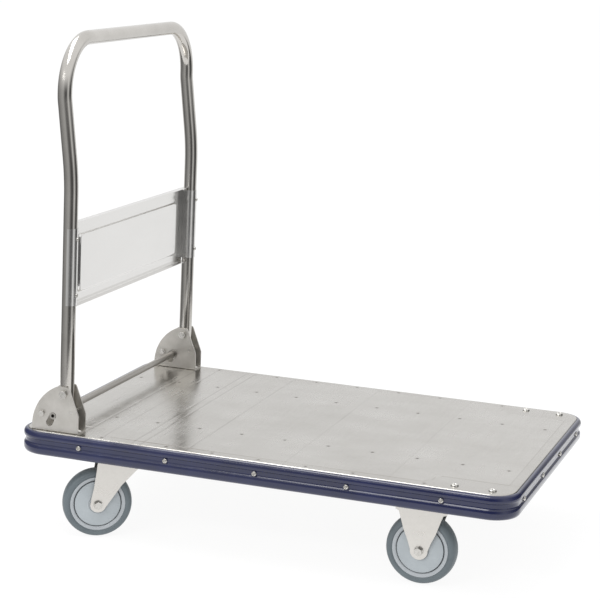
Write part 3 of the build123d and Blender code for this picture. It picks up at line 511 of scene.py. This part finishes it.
for side in ("left", "right"):
    eased("folded_bracket_" + side, "hinge_bracket_" + side, 0.0005, plate_stainless, "chassis")
for name in ("pivot_bolts", "hinge_nuts", "spring_bolts", "deck_nuts", "caster_bolts", "caster_nuts"):
    eased("plated_" + name, name, 0.0004, zinc_plate, "chassis")
coat(zinc_plate, "bracket_bolts", "spring_sleeves", "stop_pins", "lock_springs")

# ---- handle tube ---------------------------------------------------------------
# One length of 25.4 mm stainless tube, polished, bent back a little below the grip and round at
# both corners. Fine polishing lines run round it.
tube_x, hinge_y, tube_r, tube_wall, foot = -369.5, 275.0, 12.7, 1.6, 227.5
lean_x, bend_low, bend_high, grip_z = -385.5, 651.0, 787.0, 887.0


def bent_line(corners, radii, arc_step=2.0, run_step=40.0):
    """Points along straight runs joined by tangent arcs, an even step along each."""
    corners = [np.array(c, float) for c in corners]
    out, start = [], corners[0]
    for before, here, after, r in zip(corners, corners[1:], corners[2:], radii):
        back, ahead = before - here, after - here
        back, ahead = back / np.linalg.norm(back), ahead / np.linalg.norm(ahead)
        half = math.acos(float(back @ ahead)) / 2
        reach = r / math.tan(half)
        first = here + back * reach
        middle = here + (back + ahead) / np.linalg.norm(back + ahead) * r / math.sin(half)
        runs = max(2, int(np.linalg.norm(first - start) / run_step))
        out.append(start + np.linspace(0, 1, runs, endpoint=False)[:, None] * (first - start))
        sweep = math.pi - 2 * half
        t = np.linspace(0, sweep, max(6, int(sweep * r / arc_step)), endpoint=False)[:, None]
        spoke = (first - middle) / r
        out.append(middle + r * (np.cos(t) * spoke - np.sin(t) * back))
        start = here + ahead * reach
    runs = max(2, int(np.linalg.norm(corners[-1] - start) / run_step))
    out.append(start + np.linspace(0, 1, runs + 1)[:, None] * (corners[-1] - start))
    return np.concatenate(out)


def tube_skin(line, radii, side, around=40):
    """Rings round a line: each has its own radius, across the line and a steady side direction."""
    along = np.gradient(line, axis=0)
    along /= np.linalg.norm(along, axis=1, keepdims=True)
    first = np.cross(side, along)
    first /= np.linalg.norm(first, axis=1, keepdims=True)
    second = np.cross(along, first)
    turned = np.linspace(0, math.tau, around, endpoint=False)
    ring = np.cos(turned)[None, :, None] * first[:, None] + np.sin(turned)[None, :, None] * second[:, None]
    return line[:, None] + ring * np.asarray(radii)[:, None, None]


right_side = [(tube_x, -hinge_y, foot + 1.5), (tube_x, -hinge_y, bend_low), (lean_x, -hinge_y, bend_high),
              (lean_x, -hinge_y, grip_z)]
left_side = [(x, -y, z) for x, y, z in reversed(right_side)]
centre = bent_line(right_side + left_side, (600, 120, 90, 90, 120, 600))
tube_grid = tube_skin(centre, np.full(len(centre), tube_r), np.array([1.0, 0.02, 0.0]))
inner = tube_skin(centre, np.full(len(centre), tube_r - tube_wall), np.array([1.0, 0.02, 0.0]))
tube_grid = np.concatenate([inner[1:2], inner[:1], tube_grid, inner[-1:], inner[-2:-1]])
# polished tube: sharp bright and dark bands along its length, slightly broken by fine lines round it.
# The lines are drawn 1.25 mm apart, many times coarser than real, and very shallow.
drawn_stainless = finish("polished_stainless_tube", "#BDBAB5", "#CFCCC7", (0.09, 0.15), (110, 110, 110),
                         (50, 50, 1.25), 0.002, Metallic=1.0)
piece("bent_handle", [(tube_grid, False, True)], "handle", drawn_stainless, ["handle_tube"])
# moulded polyethylene: near black, with a weak waxy shine
black_plastic = finish("black_polyethylene", "#161616", "#202020", (0.46, 0.54), (5, 5, 5))
coat(black_plastic, "tube_plugs")
# turned brass: warm yellow rings from the tool
turned_brass = finish("turned_brass", "#B58E48", "#C9A661", (0.26, 0.34), (500, 1.7, 500), Metallic=1.0)
coat(turned_brass, "pivot_bushes")

# ---- lock bar ---------------------------------------------------------------
# A length of 12 mm stainless tube that runs from bracket to bracket in slanted slots. A foot presses
# it down to free the handle, and two springs lift it again.

# brushed, not polished: one soft highlight along it, and dull sawn ends. Its brush lines are drawn
# 0.8 mm apart, coarser than real.
brushed_bar = finish("brushed_stainless_bar", "#9C9994", "#B0ADA8", (0.28, 0.38), (30, 120, 30), (3, 0.8, 3), 0.004,
                     Metallic=1.0)
coat(brushed_bar, "lock_bar", "lock_bar_collars")

# ---- handle panel --------------------------------------------------------------
# Stainless sheet between the uprights: lips turned forward along its top and bottom, a shallow
# field pressed forward, and its ends wrapped round the tubes and screwed.
panel_x, panel_sheet, panel_low, panel_high = -380.1, 1.2, 416.0, 568.0
wrap_low, wrap_high, emboss_half, emboss_low, emboss_high = 424.0, 561.0, 221.0, 437.0, 541.0
lip, lip_r, panel_half, wrap_in, wrap_out = 12.4, 2.4, 262.2, 12.75, 13.95
emboss_deep, emboss_step, emboss_r = 3.9, 3.2, 7.0


def rounded_inset(y, z, half_y_size, low, high, r):
    """Distance inside a rectangle with rounded corners, in millimetres, negative outside."""
    middle, half_z = (low + high) / 2, (high - low) / 2
    qy, qz = np.abs(y) - half_y_size + r, np.abs(z - middle) - half_z + r
    return r - np.hypot(np.clip(qy, 0, None), np.clip(qz, 0, None)) - np.minimum(np.maximum(qy, qz), 0)


bend = np.radians(np.linspace(0, 90, 6))
low_lip = [(lip, 0.0), (lip_r + 3, 0.0)] + [(lip_r - lip_r * math.sin(a), lip_r - lip_r * math.cos(a)) for a in bend]
rise = [(0.0, z - panel_low) for z in lines(panel_low + 5, panel_high - 5, 9.0, [emboss_low, emboss_high], 4.0, 1.0)]
upper_lip = [(x, (panel_high - panel_low) - z) for x, z in reversed(low_lip)]
fold_line = np.array(low_lip + rise + upper_lip)
across = lines(-panel_half, panel_half, 12.0, [-emboss_half, emboss_half], 4.0, 1.0)


def panel_face(inwards):
    """The folded sheet's back or front: its section carried across, with the field pressed forward.

    The field rises as a smooth step of the distance inside its rounded outline.
    """
    px, py = np.meshgrid(fold_line[:, 0], across, indexing="ij")
    pz = np.repeat(fold_line[:, 1:], len(across), axis=1)
    slope = np.gradient(fold_line, axis=0)
    slope /= np.linalg.norm(slope, axis=1, keepdims=True)
    normal_x, normal_z = slope[:, 1:], -slope[:, :1]
    deep = rounded_inset(py, pz + panel_low, emboss_half, emboss_low, emboss_high, emboss_r)
    press = np.clip(deep / emboss_step + 0.5, 0, 1)
    x = px + normal_x * inwards + emboss_deep * press * press * (3 - 2 * press)
    z = pz + normal_z * inwards
    return np.stack([panel_x + x, py + 0 * x, panel_low + z], -1)


back_face, front_face = panel_face(0.0), panel_face(panel_sheet)
shell = [(back_face, False, False), (front_face, False, False)]
for line_a, line_b in ((back_face[0], front_face[0]), (back_face[-1], front_face[-1]),
                       (back_face[:, 0], front_face[:, 0]), (back_face[:, -1], front_face[:, -1])):
    shell.append((np.stack([line_a, line_b]), False, False))


def wrap_skin(s):
    """A band of sheet round one upright: in from the panel, round the front, to the outer side."""
    turned = np.radians(np.linspace(0, 180, 25))
    heights = np.array([wrap_low, wrap_low + 0.4, wrap_high - 0.4, wrap_high])
    line_in, line_out = ([(panel_x + 0.2, -r), (tube_x - 5, -r)]
                         + [(tube_x + r * math.sin(a), -r * math.cos(a)) for a in turned]
                         for r in (wrap_in, wrap_out))
    loop = np.array(line_in + line_out[::-1])
    flat = np.stack([loop[:, 0], s * (hinge_y + loop[:, 1])], -1)
    grid = np.stack([np.column_stack([flat, np.full(len(flat), z)]) for z in heights])
    half = len(line_in)
    caps = [np.stack([grid[k, :half], grid[k, :half - 1:-1]]) for k in (0, -1)]
    return [(grid, False, True)] + [(cap, False, False) for cap in caps]


for s in (-1, 1):
    shell += wrap_skin(s)
# bright rolled sheet: even and pale where it is flat, with dark bands where it wraps the tubes. Its
# grain runs level and is drawn 2 to 3 mm wide, coarser than real.
panel_steel = finish("bright_panel_sheet", "#E2E1DF", "#E8E7E5", (0.13, 0.20), (60, 200, 60), (3.3, 200, 2), 0.005,
                     Metallic=1.0)
piece("handle_plate", shell, "handle", panel_steel, ["handle_panel"])
small_head = pan_head(radius=3.8, height=2.2, arm=0.13, depth=1.0, shank_r=2.0, shank=8.0, steps=32)
fronts = [(tube_x + wrap_out, s * hinge_y, z) for s in (-1, 1) for z in (442.0, 542.0)]
piece("panel_screw_heads", [(stand(small_head, at, (1, 0, 0)), False, True) for at in fronts], "handle", zinc_plate,
      ["panel_screws"], crease=40.0)

# ---- swivel casters --------------------------------------------------------------
# Pressed from 3 mm stainless: a plate bolted under the rear channel, with a ball race, and a
# trailing fork that turns on its kingpin.

# pressings of the same stainless as the brackets, with a lighter colour than theirs that is painted light;
# satin, with soft edges that catch the light, and the same coarse drawing marks
fork_stainless = finish("stainless_pressing_painted_light", "#D2CFCA", "#E2DFDA", (0.24, 0.38), (26, 26, 26),
                        (5.5, 5.5, 0.55), 0.02, Metallic=1.0)
for side in ("left", "right"):
    eased("swivel_fork_pressing_" + side, "swivel_fork_rear_" + side, 0.0009, fork_stainless,
          "swivel_rear_" + side)
    coat(fork_stainless, "swivel_plate_rear_" + side)
    for part in ("axle_bolt_rear_", "axle_nut_rear_"):
        eased("plated_" + part + side, part + side, 0.0004, zinc_plate, "swivel_rear_" + side)
    coat(zinc_plate, "axle_sleeve_rear_" + side)
coat(zinc_plate, "kingpins", "swivel_balls")

# ---- rigid casters ---------------------------------------------------------------
# The same wheels in a stainless fork pressed in one with its plate, flared outwards where it widens
# and bolted under the front channel.
for side in ("left", "right"):
    eased("rigid_fork_pressing_" + side, "rigid_fork_front_" + side, 0.0009, fork_stainless,
          "chassis")
for name in ("axle_bolts_front", "axle_nuts_front"):
    eased("plated_" + name, name, 0.0004, zinc_plate, "chassis")
coat(zinc_plate, "axle_sleeves_front")

# ---- wheels -----------------------------------------------------------------
# Grey thermoplastic rubber moulded over a polypropylene centre, with a pressed-on cover disc on
# each side and a ball bearing in each end of the hub.

# moulded rubber: a flat mid grey with a fine matt skin, whose grain is drawn 1.1 mm wide, coarser
# than real
grey_rubber = finish("grey_elastomer_tread", "#5C656A", "#667075", (0.42, 0.56), (33, 33, 33), (1.1, 1.1, 1.1), 0.03,
                     IOR=1.5)
# the moulded centre and its cover: pale cool greys with the soft gloss of polypropylene
rim_plastic = finish("moulded_polypropylene_rim", "#A6ABAF", "#ACB1B5", (0.35, 0.41), (17, 17, 17), IOR=1.49)
cover_plastic = finish("moulded_polypropylene_cover", "#A3AAAE", "#AAB1B5", (0.31, 0.37), (22, 22, 22), IOR=1.49)
# ground steel: a bright clean ring
steel_ring = finish("ground_bearing_steel", "#A8A8A8", "#BBBBBB", (0.20, 0.24), (11, 11, 11), Metallic=1.0)

# radius and offset from the wheel's middle of each point round one side, in millimetres
tyre_side = [(49.5, 14.0), (50.6, 15.2), (52.2, 15.9), (54.0, 16.0), (55.6, 15.9), (57.4, 15.2), (59.0, 14.0),
             (60.2, 12.4), (61.1, 10.3), (61.7, 8.0), (62.1, 5.4), (62.4, 2.6), (62.5, 0.25), (62.5, 0.0)]
rim_side = [(49.45, 14.5), (48.6, 14.75), (47.0, 14.75), (45.4, 14.6), (44.2, 14.1), (43.4, 13.4), (42.9, 12.4),
            (42.6, 9.0), (41.2, 4.0), (17.0, 4.0), (16.0, 4.8), (16.0, 17.8), (15.3, 18.5), (11.6, 18.5),
            (11.0, 17.9), (11.0, 11.5), (9.5, 11.5)]
cover_face = [(16.4, 15.9), (16.4, 17.2), (16.9, 17.5), (18.5, 17.35), (22.0, 16.85), (27.0, 16.1), (33.0, 15.3),
              (38.0, 14.65), (39.7, 14.35), (40.8, 14.0), (41.3, 13.3), (41.1, 12.5), (38.0, 13.0), (30.0, 14.1),
              (21.0, 15.5)]


def lathe(outline, steps=96):
    """Spin an outline of (radius, offset) pairs round the Y axis."""
    outline = np.array(outline, float)
    turned = np.linspace(0, math.tau, steps, endpoint=False)
    r, w = outline[:, :1], outline[:, 1:]
    return np.stack([r * np.cos(turned), np.broadcast_to(w, (len(outline), steps)), r * np.sin(turned)], -1)


def mirrored(outline, closed_by=()):
    """An outline for one side of the wheel followed by its mirror image."""
    return list(outline) + list(closed_by) + [(r, -w) for r, w in reversed(outline)]


trail, caster_x, caster_y, wheel_r, turned_by = 38.0, 285.0, 230.0, 62.5, math.radians(30)
wheels = {
    "rear_left": (-caster_x - trail, caster_y, 0.0),
    "rear_right": (-caster_x - trail * math.cos(turned_by), -caster_y - trail * math.sin(turned_by), turned_by),
    "front_left": (caster_x, caster_y, 0.0),
    "front_right": (caster_x, -caster_y, 0.0),
}


def set_in(points, corner):
    """Turn a wheel part about Z to its fork's heading and move it to its axle."""
    x, y, heading = wheels[corner]
    c, s = math.cos(heading), math.sin(heading)
    spun = np.stack([c * points[..., 0] - s * points[..., 1], s * points[..., 0] + c * points[..., 1],
                     points[..., 2]], -1)
    return spun + np.array([x, y, wheel_r])


tyre_ring = lathe(mirrored(tyre_side[:-1]), 120)
rim_ring = lathe(mirrored(rim_side))
for corner in wheels:
    body = "wheel_" + corner
    piece("tread_" + corner, [(set_in(tyre_ring, corner), True, True)], body, grey_rubber,
          ["tyre_" + corner])
    piece("wheel_centre_" + corner, [(set_in(rim_ring, corner), True, True)], body, rim_plastic,
          ["wheel_core_" + corner])
    discs = [set_in(lathe([(r, side * w) for r, w in cover_face]), corner) for side in (1, -1)]
    piece("cover_discs_" + corner, [(disc, True, True) for disc in discs], body, cover_plastic,
          ["hub_covers_" + corner])
    coat(steel_ring, "wheel_bearings_" + corner)
